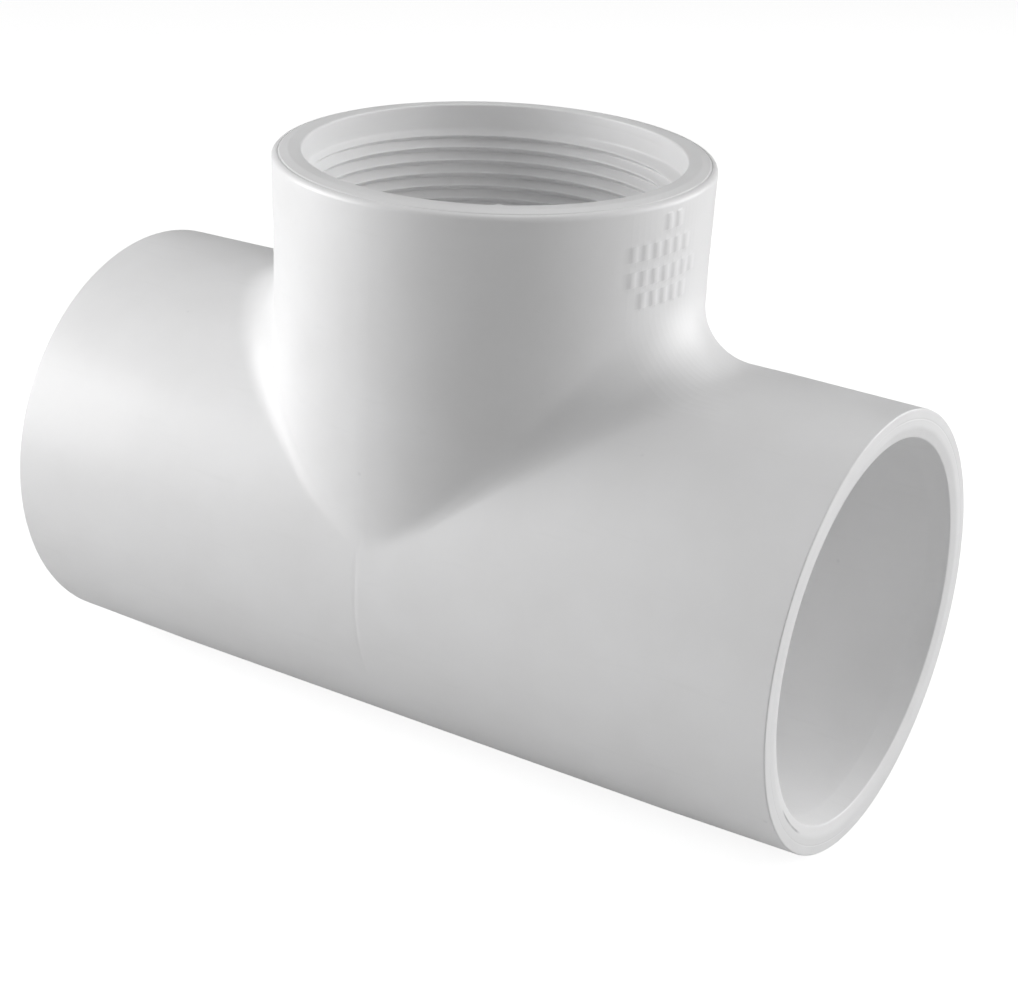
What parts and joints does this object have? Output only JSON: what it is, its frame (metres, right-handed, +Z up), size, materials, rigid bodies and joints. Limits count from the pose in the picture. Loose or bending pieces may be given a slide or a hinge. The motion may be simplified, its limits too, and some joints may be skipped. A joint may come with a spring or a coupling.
{
  "type": "pvc pipe tee",
  "caption": "White PVC pipe tee with two slip sockets in line and an upright branch with a female pipe thread.",
  "frame": {"origin": "where the axis of the run crosses the axis of the branch", "axes": "+X along the run towards the right socket, +Z up the branch, +Y completes the right-handed frame"},
  "size_m": [0.1424, 0.0712, 0.0985],
  "materials": {
    "white_pvc": "satin"
  },
  "bodies": {
    "root": {"left_socket": "white_pvc", "right_socket": "white_pvc", "threaded_branch": "white_pvc"}
  },
  "joints": []
}
